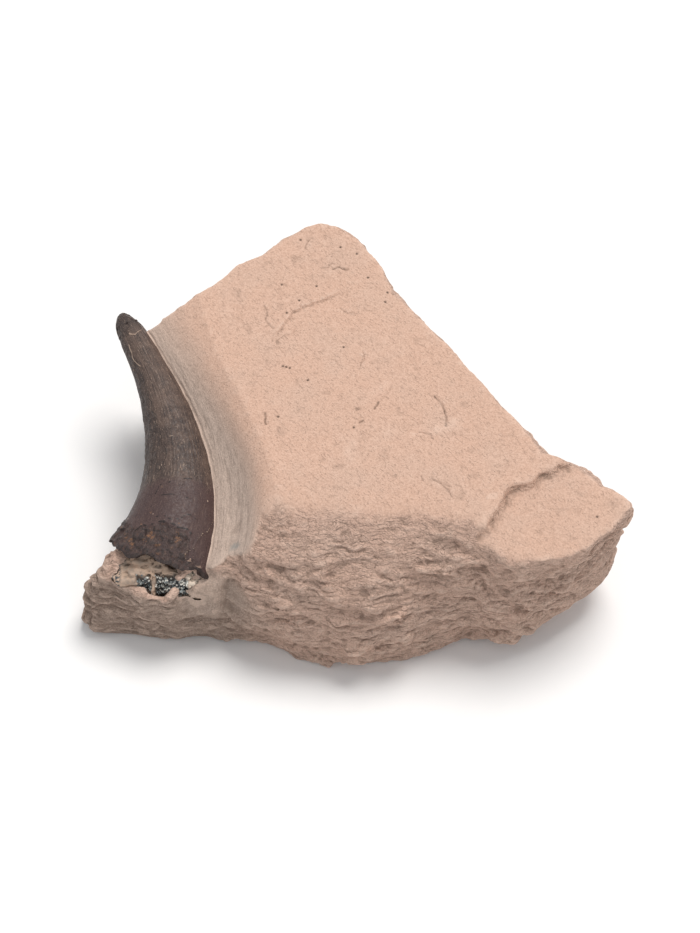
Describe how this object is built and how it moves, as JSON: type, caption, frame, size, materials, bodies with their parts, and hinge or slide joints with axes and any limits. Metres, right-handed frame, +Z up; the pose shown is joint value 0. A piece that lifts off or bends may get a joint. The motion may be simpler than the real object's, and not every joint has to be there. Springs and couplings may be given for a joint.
{
  "type": "fossil pliosaur tooth in matrix",
  "caption": "Stout curved marine reptile tooth lying in a hollow along the edge of its block of pale limestone, with a broken stump of root below the crown.",
  "frame": {"origin": "under the middle of the block's plan, on the surface that it rests on", "axes": "+X along the block's long side, from the tooth to the block's pointed right end; +Y from the crown's base towards its tip; +Z up, out of the flat face"},
  "size_m": [0.0952, 0.0784, 0.0301],
  "materials": {
    "matrix_stone": "matte",
    "tooth_enamel": "satin",
    "root_bone": "matte"
  },
  "bodies": {
    "root": {"matrix_rock": "matrix_stone", "tooth_crown": "tooth_enamel", "root_stump": "root_bone"}
  },
  "joints": []
}
